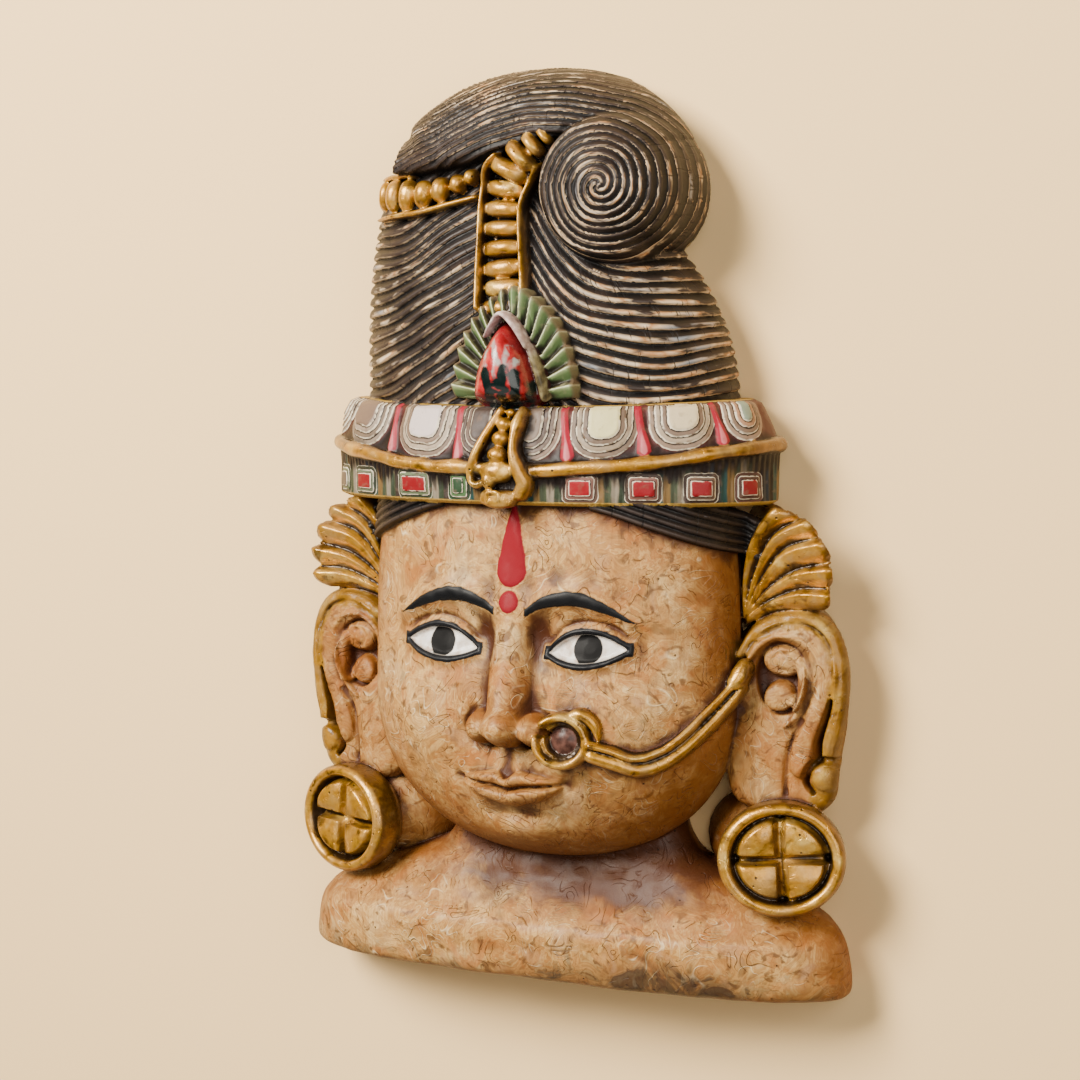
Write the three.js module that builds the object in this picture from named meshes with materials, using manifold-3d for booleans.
// A wall mask of a goddess with a tall dressed hair bun, carved in high relief from one block of wood.
// It lies on its flat back. Millimetres: +X to the viewer's right, +Y from the base to the hair,
// +Z out of the face. The origin is the middle of the back.
import * as THREE from "three";
import { mergeVertices } from "three/addons/utils/BufferGeometryUtils.js";
import Module from "manifold-3d";

// Driving sizes
const height = 610;
const baseWidth = 410;
const chestDepth = 80;
const neckDepth = 56;
const head = { x: -4, y: -112, halfWidth: 132, up: 232, down: 112, edge: 44, rise: 70 };
const face = { hairline: 40, chin: -224, nose: 29, eyeDepth: 9 };
const undercut = { inward: 15, height: 40 };
const crown = { x: -11, halfWidth: 162, endDepth: 30, rise: 92, bottom: 18, top: 79, ropeRadius: 4 };
const crownPlate = { turn: 0.36, width: 34, tall: 27, panelWidth: 20, panelTall: 14, sunk: 8, proud: 1.5 };
const hair = { x: -10, left: 147, right: 134, bottom: 74, shoulder: 150, edge: 14, depth: 102, pitch: 12 };
const bun = { x: 51, y: 221.5, radius: 52, depth: 104, lockDepth: 90, windings: 7 };
const ear = { x: 157, y: -98, depth: 52 };
const disc = { x: 158, y: -211, halfWidth: 41, halfHeight: 37.5, depth: 54, turn: 18 };
const fan = { x: -7, y: 86, halfWidth: 43, height: 68, depth: 111, leaves: 9 };
const jewel = { x: -8, y: 88, halfWidth: 24, tall: 47, low: 10, base: 102, rise: 28 };
const ring = { radius: 13, tube: 3.2, depth: 121, turn: 14 };

const wood = new THREE.MeshStandardMaterial({ color: 0xb58555, roughness: 0.5, metalness: 0 });

const bottomY = -height / 2;
const topY = height / 2;
const wasm = await Module();
wasm.setup();

const clamp = THREE.MathUtils.clamp;
const lerp = THREE.MathUtils.lerp;
const smooth = (from, to, value) => THREE.MathUtils.smoothstep(value, from, to);
const radians = THREE.MathUtils.degToRad;
const bell = (dx, dy) => Math.exp(-(dx * dx + dy * dy));
const spread = (from, to, count) => Array.from({ length: count }, (_, i) => lerp(from, to, i / (count - 1)));

// Solids from three.js geometry, and from stacks of rings

function solidOf(geometry) {
  const bare = new THREE.BufferGeometry().setAttribute("position", geometry.getAttribute("position"));
  if (geometry.index) bare.setIndex(geometry.index);
  const merged = mergeVertices(bare, 1e-3);
  const mesh = new wasm.Mesh({
    numProp: 3,
    vertProperties: merged.attributes.position.array,
    triVerts: new Uint32Array(merged.index.array),
  });
  return new wasm.Manifold(mesh);
}

// Rings of equal count, each counter-clockwise seen from the last one, joined and closed at both ends.
function ringSolid(rings) {
  const count = rings[0].length;
  const vertices = rings.flat();
  const middle = (ring) => ring.reduce((sum, p) => sum.add(p), new THREE.Vector3()).divideScalar(count);
  const first = vertices.push(middle(rings[0])) - 1;
  const last = vertices.push(middle(rings.at(-1))) - 1;
  const faces = [];
  for (let j = 0; j < count; j++) {
    const next = (j + 1) % count;
    faces.push(first, next, j);
    for (let i = 0; i < rings.length - 1; i++) {
      const [a, b] = [i * count + j, i * count + next];
      faces.push(a, b, b + count, a, b + count, a + count);
    }
    const top = (rings.length - 1) * count;
    faces.push(last, top + j, top + next);
  }
  const geometry = new THREE.BufferGeometry().setFromPoints(vertices);
  geometry.setIndex(faces);
  return solidOf(geometry);
}

// A mound on the back plane: the outline goes straight up, then shrinks by the given shares as it rises.
function mound(outline, centre, shares, depthAt) {
  const ring = (share, depth) =>
    outline.map(([x, y], index) => {
      const [px, py] = [lerp(centre[0], x, share), lerp(centre[1], y, share)];
      return new THREE.Vector3(px, py, depth ?? depthAt(px, py, share, index));
    });
  return ringSolid([ring(1, 0), ...shares.map((share) => ring(share))]);
}

function around(count, pointAt) {
  return Array.from({ length: count }, (_, i) => pointAt((i / count) * 2 * Math.PI));
}

function ball([x, y, z], [rx, ry, rz], turn = 0) {
  const geometry = new THREE.SphereGeometry(1, 6, 3);
  geometry.scale(rx, ry, rz).rotateZ(radians(turn)).translate(x, y, z);
  return solidOf(geometry);
}

// A rounded bar along a smooth line, wide across the mask and tall out of it.
function bar(points, width, tall, steps = 12, sides = 6) {
  const line = new THREE.CatmullRomCurve3(points.map((p) => new THREE.Vector3(...p)));
  const rings = [];
  for (let i = 0; i <= steps; i++) {
    const along = line.getTangent(i / steps);
    const across = new THREE.Vector3(-along.y, along.x, 0).normalize();
    const out = new THREE.Vector3().crossVectors(along, across);
    const middle = line.getPoint(i / steps);
    rings.push(around(sides, (a) => {
      const point = middle.clone().addScaledVector(across, (Math.cos(a) * width) / 2);
      return point.addScaledVector(out, (Math.sin(a) * tall) / 2);
    }));
  }
  return ringSolid(rings);
}

const joined = (solids) => solids.reduce((whole, next) => whole.add(next));

// Bust: a loaf with round ends, cut flat below, its top sloping from the neck to the shoulders.

function bust() {
  const half = baseWidth / 2;
  const sections = 23;
  const rings = [];
  for (let i = 0; i < sections; i++) {
    const across = Math.cos((i / (sections - 1)) * Math.PI);
    const side = Math.abs(across);
    const fullness = lerp(0.5, 1, Math.sqrt(Math.max(0, 1 - side ** 5)));
    const front = lerp(chestDepth, chestDepth * 0.8, side ** 2) * fullness;
    const shoulder = lerp(-222, -262, smooth(0.4, 0.95, side)) - 22 * smooth(0.9, 1, side);
    const crease = lerp(bottomY, shoulder, 0.5);
    const profile = [
      [bottomY, 0],
      [bottomY, front * 0.93],
      [bottomY + 5, front * 0.98],
      [crease, front],
      [lerp(crease, shoulder, 0.35), front * 0.95],
      [lerp(crease, shoulder, 0.7), front * 0.82],
      [shoulder, Math.min(neckDepth, front * 0.7)],
      [shoulder, 0],
    ];
    rings.push(profile.map(([y, z]) => new THREE.Vector3(across * half, y, z)));
  }
  return ringSolid(rings.reverse().map((ring) => ring.reverse()));
}

function neck() {
  const middle = -200;
  const outline = around(14, (a) => [head.x + 98 * Math.cos(a), middle + 52 * Math.sin(a)]);
  const depthAt = (x, y, share) => neckDepth * (1.06 - 0.16 * share ** 3);
  return mound(outline, [head.x, middle], [1, 0.94, 0.8, 0.4], depthAt);
}

// Head: a broad oval whose features are worked out from the height of the face in thirds.

const third = (face.hairline - face.chin) / 3;
const browY = face.hairline - third;
const eyeY = browY - third * 0.3;
const noseBaseY = browY - third;
const mouthY = noseBaseY - third / 3;
const eyeWidth = (2 * head.halfWidth) / 5;

function faceDepth(x, y) {
  const dx = Math.abs(x - head.x);
  const away = dx / head.halfWidth;
  const up = (y - head.y) / (y > head.y ? head.up : head.down);
  const share = Math.min(1, (away ** 2.2 + Math.abs(up) ** 2.6) ** 0.42);
  const socket = -10 * bell((dx - eyeWidth * 0.95) / 34, (y - eyeY) / 15);
  const brow = 4 * bell((dx - eyeWidth) / 40, (y - browY) / 10);
  const cheek = 6 * bell((dx - 70) / 34, (y - noseBaseY - 8) / 30);
  const muzzle = 8 * bell(dx / 42, (y - mouthY) / 24);
  const chin = 10 * bell(dx / 26, (y - face.chin - 22) / 14);
  const relief = (socket + brow + cheek + muzzle + chin) * (1 - share ** 6);
  return head.edge + head.rise * Math.sqrt(1 - share ** 3.2) + relief;
}

function headForm() {
  const power = (value, n) => Math.sign(value) * Math.abs(value) ** n;
  const outline = around(32, (a) => {
    const [c, s] = [Math.cos(a), Math.sin(a)];
    const x = head.x + head.halfWidth * power(c, s > 0 ? 0.62 : 0.95);
    return [x, head.y + (s > 0 ? head.up : head.down) * power(s, s > 0 ? 0.62 : 0.95)];
  });
  const shares = [1, 0.98, 0.93, 0.86, 0.77, 0.68, 0.58, 0.47, 0.36, 0.25, 0.12];
  return mound(outline, [head.x, head.y], shares, faceDepth);
}

// Half width and height of the nose, from its base at 0 to the brow at 1.
function noseSize(along) {
  const [wings, tip, ridge, root] = [0.3, 0.14, 13, 9];
  const half = along < wings
    ? lerp(eyeWidth * 0.46, ridge, along / wings)
    : lerp(ridge, root, (along - wings) / (1 - wings));
  const rise = along < tip ? lerp(15, face.nose, along / tip) : lerp(face.nose, 6, (along - tip) / (1 - tip));
  return [half, rise];
}

function noseForm() {
  const sections = 8;
  const sunk = 8;
  const halfProfile = [[0.3, 1], [0.55, 0.62], [1, 0.35], [1.2, 0]];
  const profile = [...halfProfile.map(([u, v]) => [-u, v]).reverse(), ...halfProfile];
  const rings = [];
  for (let i = 0; i <= sections; i++) {
    const y = lerp(noseBaseY - 3, browY - 4, i / sections);
    const [half, rise] = noseSize(i / sections);
    const base = faceDepth(head.x, y) - sunk;
    const at = ([u, v]) => new THREE.Vector3(head.x + u * half, y, base + v * (rise + sunk));
    rings.push(profile.map(at).reverse());
  }
  return ringSolid(rings.reverse());
}

function faceFeatures() {
  const features = [noseForm()];
  for (const side of [-1, 1]) features.push(ball([head.x + side * 17, noseBaseY + 6, 116], [9, 9, 12]));
  const at = (dx, y, lift) => [head.x + dx, y, faceDepth(head.x + dx, y) + lift];
  for (const side of [-1, 1]) {
    const middle = side * eyeWidth;
    const corner = eyeWidth / 2;
    features.push(ball(at(middle, eyeY, 1), [corner * 0.95, 10, face.eyeDepth]));
    for (const lid of [-1, 1]) {
      const arch = lid > 0 ? 10 : -7;
      const corners = [-corner, corner].map((dx) => at(middle + dx, eyeY, -1));
      const line = [corners[0], at(middle, eyeY + arch, face.eyeDepth - 3), corners[1]];
      features.push(bar(line, 5, 7, 4, 4));
    }
  }
  const lip = eyeWidth * 0.68;
  const upper = [[-1, 0, -2], [-0.3, 7, 4], [0, 5, 5], [0.3, 7, 4], [1, 0, -2]];
  const lower = [[-0.85, -2, -3], [0, -8, 5], [0.85, -2, -3]];
  const lipLine = (points) => points.map(([share, dy, lift]) => at(share * lip, mouthY + dy, lift));
  features.push(bar(lipLine(upper), 9, 9, 8, 6));
  features.push(bar(lipLine(lower), 11, 10, 6, 6));
  return features;
}

// Hair below the bun: combed in sagging strands, each a ridge between two grooves.

function hairEdges(y) {
  const up = clamp((y - hair.shoulder) / (topY - hair.shoulder), 0, 1);
  const narrowing = clamp((y - hair.bottom) / (bun.y - 45 - hair.bottom), 0, 1);
  return [hair.x - hair.left * (1 - up ** 2.4) ** (1 / 2.4), hair.x + hair.right - 36 * narrowing ** 2.3];
}

function hairDepth(x, y) {
  const [left, right] = hairEdges(y);
  const off = clamp(Math.abs(x - (left + right) / 2) / ((right - left) / 2), 0, 1);
  const thinning = lerp(1, 0.76, smooth(120, 250, y));
  return hair.edge + (hair.depth - hair.edge) * Math.sqrt(1 - off ** 2.6) * thinning;
}

function hairMass() {
  const strands = Math.round((bun.y + 27 - hair.bottom) / hair.pitch);
  const columns = 10;
  const rings = [];
  for (let i = 0; i <= strands * 2; i++) {
    const level = hair.bottom + (i * hair.pitch) / 2;
    const [left, right] = hairEdges(level);
    const ridge = i % 2 ? 2.2 : -1.2;
    const ring = [new THREE.Vector3(left, level, 0), new THREE.Vector3(right, level, 0)];
    for (let j = 0; j <= columns; j++) {
      const x = lerp(right, left, j / columns);
      const sag = Math.min(38, 0.0042 * (x < fan.x ? x - left : x - right + 40) ** 2);
      const y = level + sag * smooth(0, 3, i) * smooth(strands * 2, strands * 2 - 3, i);
      ring.push(new THREE.Vector3(x, y, hairDepth(x, y) + ridge * Math.sin((Math.PI * j) / columns)));
    }
    rings.push(ring.reverse());
  }
  return ringSolid(rings);
}

// Bun: the top lock sweeps from the left over the top and winds down into a spiral.

const lockFoot = (x) => 232 + 0.0018 * (Math.min(x, 0) + 110) ** 2;

function insideLock(x, y) {
  if (Math.hypot(x - bun.x, y - bun.y) < bun.radius) return true;
  if (y < lockFoot(x)) return false;
  const overTop = ((x - hair.x) / 108) ** 2 + ((y - bun.y) / (topY - bun.y)) ** 2 < 1;
  return x > hair.x ? overTop : x > hairEdges(y)[0] && y < topY;
}

function topLock() {
  const turns = [...spread(0, 120, 10), ...spread(128, 175.6, 8), ...spread(178, 346, 12)];
  const outline = turns.map((turn) => {
    const [c, s] = [Math.cos(radians(turn)), Math.sin(radians(turn))];
    let reach = hair.left * 2;
    while (!insideLock(bun.x + reach * c, bun.y + reach * s)) reach -= 0.5;
    return [bun.x + reach * c, bun.y + reach * s];
  });
  const steps = bun.windings * 2;
  const outermost = 0.985;
  const shares = [1];
  for (let i = steps; i > 0; i--) shares.push((i / steps) * outermost);
  return mound(outline, [bun.x, bun.y], shares, (x, y, share) => {
    const step = Math.round((share / outermost) * steps);
    const ridge = share < 1 && step % 2 ? 1.8 : -1;
    const far = Math.hypot(x - bun.x, y - bun.y) / bun.radius;
    const ballRise = (bun.depth - bun.lockDepth) * Math.sqrt(Math.max(0, 1 - far ** 2));
    return hair.edge + (bun.lockDepth - hair.edge) * Math.sqrt(1 - share ** 2.4) + ballRise + ridge;
  });
}

// Crown band: a bowed band round the brow, its upper half leaning back, with a rope between two rows
// of plates.

const crownDepth = (x) => {
  const off = clamp((x - crown.x) / crown.halfWidth, -1, 1);
  return crown.endDepth + crown.rise * Math.sqrt(1 - off ** 2);
};
const ropeY = (x) => 40 + 16 * ((x - crown.x) / crown.halfWidth) ** 2;

function crownBand() {
  const sections = 25;
  const rings = [];
  for (let i = 0; i < sections; i++) {
    const turn = (i / (sections - 1)) * Math.PI;
    const x = crown.x - crown.halfWidth * Math.cos(turn);
    const [depth, rope] = [crownDepth(x), ropeY(x)];
    const top = crown.top + 5 * Math.cos(turn) ** 2;
    const lean = (y) => depth - 13 * clamp((y - rope) / (top - rope), 0, 1);
    const r = crown.ropeRadius;
    const profile = [
      [crown.bottom, 0],
      [top, 0],
      [top, lean(top)],
      [rope + r, lean(rope + r)],
      [rope + r * 0.6, depth + r * 0.8],
      [rope - r * 0.6, depth + r * 0.8],
      [rope - r, depth],
      [crown.bottom, depth - 2],
    ];
    rings.push(profile.map(([y, z]) => new THREE.Vector3(x, y, z)));
  }
  return ringSolid(rings);
}

// A plate raised on the band, facing the way the band faces there; the upper ones are rounded below.
function plate(turn, y, width, tall, rounded) {
  const x = crown.x + crown.halfWidth * Math.sin(turn);
  const [w, h, sunk] = [width / 2, tall / 2, crownPlate.sunk];
  const shape = new THREE.Shape().moveTo(-w, h).lineTo(-w, -h * 0.3);
  shape.quadraticCurveTo(-w, -h, 0, -h).quadraticCurveTo(w, -h, w, -h * 0.3).lineTo(w, h);
  const flat = { depth: sunk, bevelEnabled: false, curveSegments: 2 };
  const geometry = rounded
    ? new THREE.ExtrudeGeometry(shape, flat).translate(0, 0, -sunk)
    : new THREE.BoxGeometry(width, tall, sunk * 2).translate(0, 0, crownPlate.proud - sunk);
  geometry.rotateY(turn * 0.86).translate(x, y, crownDepth(x));
  return solidOf(geometry);
}

function crownPlates() {
  const { width, tall, panelWidth, panelTall } = crownPlate;
  return [-3, -2, -1, 1, 2, 3].flatMap((step) => {
    const turn = step * crownPlate.turn;
    const rope = ropeY(crown.x + crown.halfWidth * Math.sin(turn));
    const upper = plate(turn, (rope + crown.top) / 2 + 1, width, tall, true);
    return [upper, plate(turn, (rope + crown.bottom) / 2 - 1, panelWidth, panelTall, false)];
  });
}

function clasp() {
  const x = crown.x + 2;
  const depth = crownDepth(x) - 1;
  const beads = [72, 62, 51].map((y, i) => ball([x, y, depth - 9 + i * 3], [5 + i, 5, 8]));
  const foot = ball([x - 2, 29, depth], [13, 10, 7]);
  const sides = [-1, 1].map((side) => {
    const line = [[7, 78, -11], [11, 52, 0], [12, 30, -1]];
    return bar(line.map(([dx, y, lift]) => [x + side * dx, y, depth + lift]), 5, 8, 4);
  });
  return [...beads, foot, ...sides];
}

// Fan of pleated leaves behind a drop-shaped jewel

function fluted(root, tips, back, depthAt) {
  const outline = tips.flatMap(([x, y], i) => {
    if (i === tips.length - 1) return [[x, y]];
    const [nx, ny] = tips[i + 1];
    return [[x, y], [lerp(root[0], (x + nx) / 2, 0.9), lerp(root[1], (y + ny) / 2, 0.9)]];
  });
  return mound([...outline, ...back], root, [1, 0.93, 0.7, 0.4, 0.12], (x, y, share, index) => {
    const crest = index < outline.length && index % 2 === 0 ? 1 : -1;
    return depthAt(share) + crest * 3.5 * smooth(1.05, 0.9, share) * smooth(0, 0.5, share);
  });
}

function leafFan() {
  const tips = Array.from({ length: fan.leaves }, (_, i) => {
    const angle = lerp(-0.08, Math.PI + 0.08, i / (fan.leaves - 1));
    const reach = 1 + 0.1 * Math.exp(-(((angle - Math.PI / 2) / 0.3) ** 2));
    const across = fan.halfWidth * reach * Math.cos(angle);
    return [fan.x + across, fan.y + fan.height * 0.92 * reach * Math.sin(angle)];
  });
  return fluted([fan.x, fan.y], tips, [[fan.x, fan.y - 10]], (share) => fan.depth - 14 * share ** 2);
}

function jewelForm() {
  const outline = around(14, (a) => {
    const [c, s] = [Math.cos(a), Math.sin(a)];
    const narrowing = s > 0 ? 1 - 0.55 * s ** 3 : 1;
    return [jewel.x + jewel.halfWidth * c * narrowing, jewel.y + (s > 0 ? jewel.tall : jewel.low) * s];
  });
  const depthAt = (x, y, share) => jewel.base + jewel.rise * Math.sqrt(1 - share ** 2.5);
  return mound(outline, [jewel.x, jewel.y + 10], [1, 0.94, 0.75, 0.4], depthAt);
}

// Bead strings in the hair: one across to the left, one up to the bun between two rails.

function beadStrings() {
  const acrossBeads = [-131, -118, -103, -88, -74, -61].map((x, i) => {
    const y = 220 + 0.0022 * (x + 131) ** 2;
    return ball([x, y, hairDepth(x, y) + (i ? 2 : -3)], [5.6, 10 - i * 0.7, 7], -6 - i * 2);
  });
  const straight = [[-17, 157], [-19.5, 170], [-22.5, 183], [-24.5, 196], [-25.5, 209], [-25, 222]];
  const turned = [[-20, 234], [-12, 243], [-3, 250]];
  const upBeads = [...straight, ...turned].map(([x, y], i) => {
    const half = i > straight.length ? 8 : 11;
    return ball([x, y, hairDepth(x, y) + 2], [half, 5.4, 7], i < straight.length ? 0 : -35);
  });
  const middle = [[-17, 146], [-22, 186], [-25, 226]];
  const rails = [-1, 1].map((side) => {
    const points = middle.map(([x, y]) => [x + side * 14.5, y, hairDepth(x, y) + 1]);
    return bar(points, 5, 9, 2, 4);
  });
  return [...acrossBeads, ...upBeads, ...rails];
}

// Each side of the head: ear with its lobe, scroll, feathers and round ear ornament

function earForm() {
  const middle = [ear.x + 8, ear.y - 14];
  const outline = around(14, (a) => [middle[0] + 34 * Math.cos(a), middle[1] + 58 * Math.sin(a)]);
  const back = mound(outline, middle, [1, 0.9], (x, y, share) => ear.depth - 8 * share);
  const rim = [
    [131, -84, 50], [140, -66, 54], [160, -58, 54], [178, -69, 52],
    [184, -92, 50], [178, -124, 50], [172, -150, 48],
  ];
  const scroll = [
    [130, -68, 42], [148, -56, 46], [174, -54, 42], [192, -70, 36],
    [197, -98, 34], [193, -134, 34], [188, -166, 34],
  ];
  const knobs = [[ear.x + 1, -84, 12], [ear.x - 2, -107, 10], [184, -158, 9]].map(([x, y, r]) =>
    ball([x, y, 49], [r, r, r * 0.9]),
  );
  const lobe = bar([[146, -122, 46], [142, -150, 50], [146, -178, 48]], 34, 26, 3, 8);
  return [back, bar(rim, 11, 20, 7), bar(scroll, 11, 40, 8), ...knobs, lobe];
}

function feathers() {
  const tips = [[190, -38], [195, -23], [193, -8], [184, 3], [172, 13], [157, 22]];
  return fluted([131, -60], tips, [[118, 24], [122, -66]], (share) => 56 - 12 * share ** 2);
}

function earDisc() {
  const outline = around(18, (a) => [disc.halfWidth * Math.cos(a), disc.halfHeight * Math.sin(a)]);
  const [rimFrom, moatFrom] = [0.84, 0.76];
  const rise = (share) => {
    if (share > rimFrom) return 8 * Math.sin(((1 - share) / (1 - rimFrom)) * Math.PI * 0.5);
    return share > moatFrom ? 3 : 9 - 3 * share;
  };
  const shares = [1, 0.94, 0.85, 0.78, 0.72, 0.4];
  let shape = mound(outline, [0, 0], shares, (x, y, share) => disc.depth + rise(share));
  for (const [w, h] of [[4, 60], [66, 4]]) {
    const groove = new THREE.BoxGeometry(w, h, 12).translate(0, 0, disc.depth + 9);
    shape = shape.subtract(solidOf(groove));
  }
  const tilt = new THREE.Matrix4().makeRotationY(radians(disc.turn));
  tilt.setPosition(disc.x - 14, disc.y, 4);
  const behind = solidOf(new THREE.BoxGeometry(600, 900, 200).translate(0, 0, -100));
  return shape.transform(tilt.elements).subtract(behind);
}

// Nose ring on the viewer's right, with its chain to the ear

function noseRing() {
  const loop = new THREE.TorusGeometry(ring.radius, ring.tube, 5, 12);
  loop.rotateY(radians(ring.turn)).translate(head.x + eyeWidth * 0.75, noseBaseY + 4, ring.depth);
  const chain = [
    [55, -138, 116], [72, -150, 112], [92, -146, 106], [112, -124, 92], [128, -99, 70], [134, -86, 56],
  ];
  return [solidOf(loop), bar(chain, 8, 9, 8, 4)];
}

const solids = [bust(), neck(), headForm(), ...faceFeatures(), hairMass(), topLock(), crownBand()];
solids.push(...crownPlates(), ...clasp(), leafFan(), jewelForm(), ...beadStrings(), ...noseRing());
const rightSide = joined([...earForm(), feathers(), earDisc()]);
solids.push(rightSide, rightSide.mirror([1, 0, 0]));

// The side walls lean in towards the back, so that the carving stands off the wall.
function tucked(solid) {
  return solid.warp((point) => {
    const lean = clamp(1 - point[2] / undercut.height, 0, 1) ** 1.5;
    point[0] -= Math.sign(point[0]) * undercut.inward * lean * smooth(20, 80, Math.abs(point[0]));
  });
}

function meshOf(solid, name) {
  const { vertProperties, triVerts, numProp } = solid.getMesh();
  const geometry = new THREE.BufferGeometry();
  geometry.setAttribute("position", new THREE.BufferAttribute(vertProperties, numProp));
  geometry.setIndex(new THREE.BufferAttribute(triVerts, 1));
  const mesh = new THREE.Mesh(geometry, wood);
  mesh.name = name;
  return mesh;
}

const group = new THREE.Group();
group.add(meshOf(tucked(joined(solids).simplify(0.3)), "mask"));

export default group;
